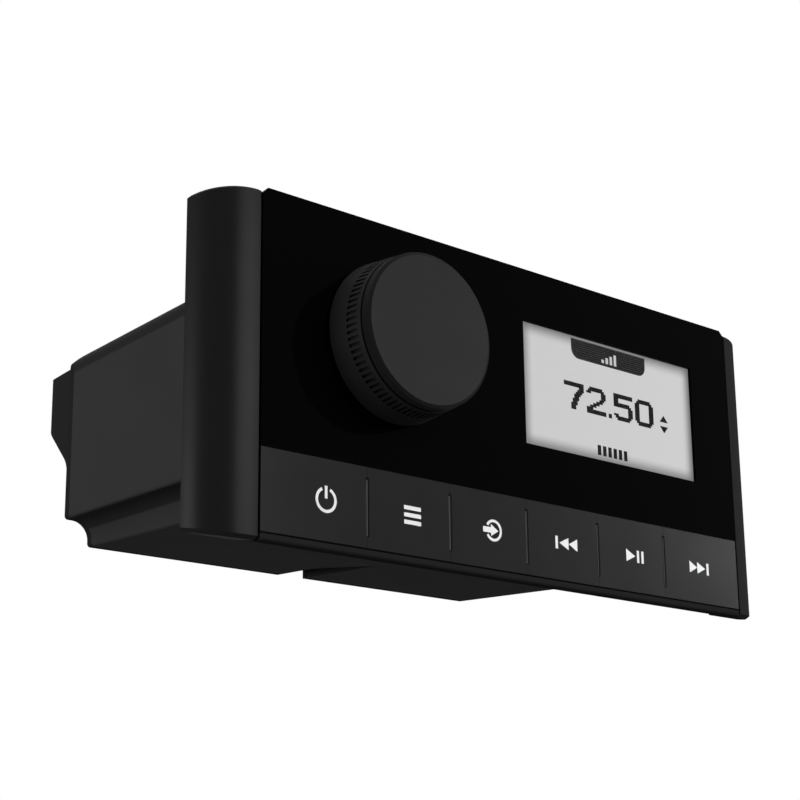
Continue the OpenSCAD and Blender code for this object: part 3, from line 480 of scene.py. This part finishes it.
for i, (key, outlines) in enumerate(ICONS.items()):
    low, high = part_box(key)
    mark_piece(key.replace("key_", "icon_"), key,
               placed(outlines, ICON_START + ICON_PITCH * i, (low.z + high.z) / 2),
               low.y, ICON_THICK, icon_white)

# Painted shadow lines, as thin dark strips along two seams of the face: below the key strip, and
# beside the right end cap
KEY_SHADOW_LINE, CAP_SHADOW_LINE = 0.3 * MM, 0.6 * MM
SHADOW_LINE_THICK = 0.02 * MM
CAP_END = 0.7 * MM
LIP_TOP = -33.1 * MM
panel_low, panel_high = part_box("front_panel")
cap_low, cap_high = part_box("end_cap_right")


# Painted shadow of a seam, as a thin dark strip
def shadow_line(name, body, outline, back_y):
    mark_piece(name, body, [outline], back_y, SHADOW_LINE_THICK, seam_shadow_black)


shadow_line("key_shadow_line", "unit",
     between(panel_low.x, panel_high.x, LIP_TOP - KEY_SHADOW_LINE, LIP_TOP), panel_low.y)
shadow_line("cap_shadow_line", "end_cap_right",
     between(cap_low.x, cap_low.x + CAP_SHADOW_LINE, cap_low.z + CAP_END, cap_high.z - CAP_END), cap_low.y)

# Readout of square dots: plain numbers, with a tab above and generic marks beside and below
DIGITS = {
    "0": """
..########..
.##########.
###......###
###......###
###......###
###......###
###......###
###......###
###......###
###......###
.##########.
..########..""",
    "2": """
..########..
.##########.
###......###
.........###
.........###
........###.
......####..
....####....
..####......
####........
############
############""",
    "5": """
############
############
###.........
###.........
##########..
###########.
.........###
.........###
.........###
###......###
.##########.
..########..""",
    "7": """
############
############
.........###
........####
.......####.
......####..
......###...
.....####...
.....###....
....####....
....###.....
....###.....""",
}
DIGIT_ROWS = 12
READOUT = "72.50"
DOT = 0.52 * MM
DIGIT_PITCH = 7.02 * MM
POINT_PITCH = 1.8 * MM
READOUT_IN = 12.6 * MM
READOUT_DOWN = 10.9 * MM
INK_THICK = 0.02 * MM


def readout_cells():
    """Square cells of the number, left to right; the point is two dots wide and high."""
    cells = []
    x = window_low.x + READOUT_IN
    top = window_high.z - READOUT_DOWN
    for sign in READOUT:
        if sign == ".":
            cells.append(bar(x + DOT, top - (DIGIT_ROWS - 1) * DOT, 2 * DOT, 2 * DOT))
            x += POINT_PITCH
            continue
        for down, line in enumerate(DIGITS[sign].split()):
            for across, dot in enumerate(line):
                if dot == "#":
                    cells.append(bar(x + (across + 0.5) * DOT, top - (down + 0.5) * DOT, DOT, DOT))
        x += DIGIT_PITCH
    return cells


def ink(name, outlines, material=lcd_ink, lift=0):
    """Mark on the display, on the glass or some layers of ink above it."""
    mark_piece(name, "unit", outlines, glass_face - lift * INK_THICK, INK_THICK, material)


# Display marks, in millimetres: the tab with its level bars, a pair of arrows and a row of blocks
TAB_HW, TAB_H, TAB_R, TAB_STEPS = 12.1, 4.55, 2.3, 8
LEVEL_COUNT, LEVEL_PITCH, LEVEL_W, LEVEL_GROWTH, LEVEL_Z = 4, 1.35, 0.8, 0.6, -3.5
STEP_HW, STEP_NEAR, STEP_FAR = 1.4, 0.5, 2.1
BLOCK_COUNT, BLOCK_PITCH, BLOCK_W, BLOCK_H = 6, 1.7, 1.1, 2.3
TAB = [(-TAB_HW, 0)] + arc_points(TAB_R - TAB_HW, TAB_R - TAB_H, TAB_R, 180, 270, TAB_STEPS) \
    + arc_points(TAB_HW - TAB_R, TAB_R - TAB_H, TAB_R, 270, 360, TAB_STEPS) + [(TAB_HW, 0)]
LEVELS = [bar(x, LEVEL_Z + LEVEL_GROWTH / 2 * k, LEVEL_W, LEVEL_W + LEVEL_GROWTH * k)
          for k, x in enumerate(row(LEVEL_COUNT, LEVEL_PITCH))]
STEPS = [[(-STEP_HW, STEP_NEAR), (STEP_HW, STEP_NEAR), (0, STEP_FAR)],
         [(-STEP_HW, -STEP_NEAR), (0, -STEP_FAR), (STEP_HW, -STEP_NEAR)]]
BLOCKS = [bar(x, 0, BLOCK_W, BLOCK_H) for x in row(BLOCK_COUNT, BLOCK_PITCH)]

# Their places in the window
TAB_DOWN = 0.6 * MM
STEPS_IN, STEPS_UP = 45.2 * MM, 12.2 * MM
BLOCKS_UP = 2.4 * MM
tab_top = window_high.z - TAB_DOWN
ink("readout", readout_cells())
ink("display_tab", placed([TAB], window_x, tab_top), lcd_tab)
ink("display_levels", placed(LEVELS, window_x, tab_top), lcd_pale, 1)
ink("display_steps", placed(STEPS, window_low.x + STEPS_IN, window_low.z + STEPS_UP))
ink("display_blocks", placed(BLOCKS, window_x, window_low.z + BLOCKS_UP))


# Studio

def white_world():
    """White to the camera and in reflections, and a weak light for the rest."""
    world = bpy.data.worlds.new("studio")
    bpy.context.scene.world = world
    world.use_nodes = True
    made = Nodes(world.node_tree)
    back = made.tree.nodes["Background"]
    made.feed(back.inputs["Color"], WHITE)
    made.feed(back.inputs["Strength"], made.seen(AMBIENT, 1.0))


def pale_floor():
    """Floor that is lifted to white where it is seen."""
    bpy.ops.mesh.primitive_plane_add(size=FLOOR_SIZE, location=(0, 0, FLOOR_Z))
    floor = bpy.context.object
    floor.name = "floor"
    made = Maker("pale_floor", grey(FLOOR_LEVEL), 0.9, 0.0)
    made.drift(FLOOR_PATCH, grey(FLOOR_LEVEL - FLOOR_DRIFT), grey(FLOOR_LEVEL + FLOOR_DRIFT))
    made.glow(WHITE, made.seen(0.0, FLOOR_LIFT))
    paint(floor, made.mat)


def soft_box(name, azimuth, elevation, size, power):
    """Area lamp that looks at the origin."""
    data = bpy.data.lights.new(name, "AREA")
    data.shape = "RECTANGLE"
    data.size, data.size_y = size
    data.energy = power
    lamp = bpy.data.objects.new(name, data)
    a, e = math.radians(azimuth), math.radians(elevation)
    towards = Vector((math.sin(a) * math.cos(e), -math.cos(a) * math.cos(e), math.sin(e)))
    lamp.location = towards * LAMP_REACH
    lamp.rotation_euler = (-lamp.location).to_track_quat("-Z", "Y").to_euler()
    bpy.context.scene.collection.objects.link(lamp)


def photo_camera():
    """Camera of the photograph."""
    data = bpy.data.cameras.new("camera")
    data.lens = CAMERA_LENS
    data.sensor_width = CAMERA_SENSOR
    data.shift_x, data.shift_y = CAMERA_SHIFT
    data.clip_start, data.clip_end = CAMERA_CLIP
    camera = bpy.data.objects.new("camera", data)
    camera.location = CAMERA_AT
    camera.rotation_euler = (Matrix.Rotation(math.radians(-CAMERA_YAW), 3, "Z")
                             @ Matrix.Rotation(math.radians(90 + CAMERA_PITCH), 3, "X")
                             @ Matrix.Rotation(math.radians(CAMERA_ROLL), 3, "Z")).to_euler()
    bpy.context.scene.collection.objects.link(camera)
    bpy.context.scene.camera = camera


bpy.context.scene.view_settings.view_transform = "Standard"
white_world()
pale_floor()
for lamp_values in LAMPS:
    soft_box(*lamp_values)
photo_camera()
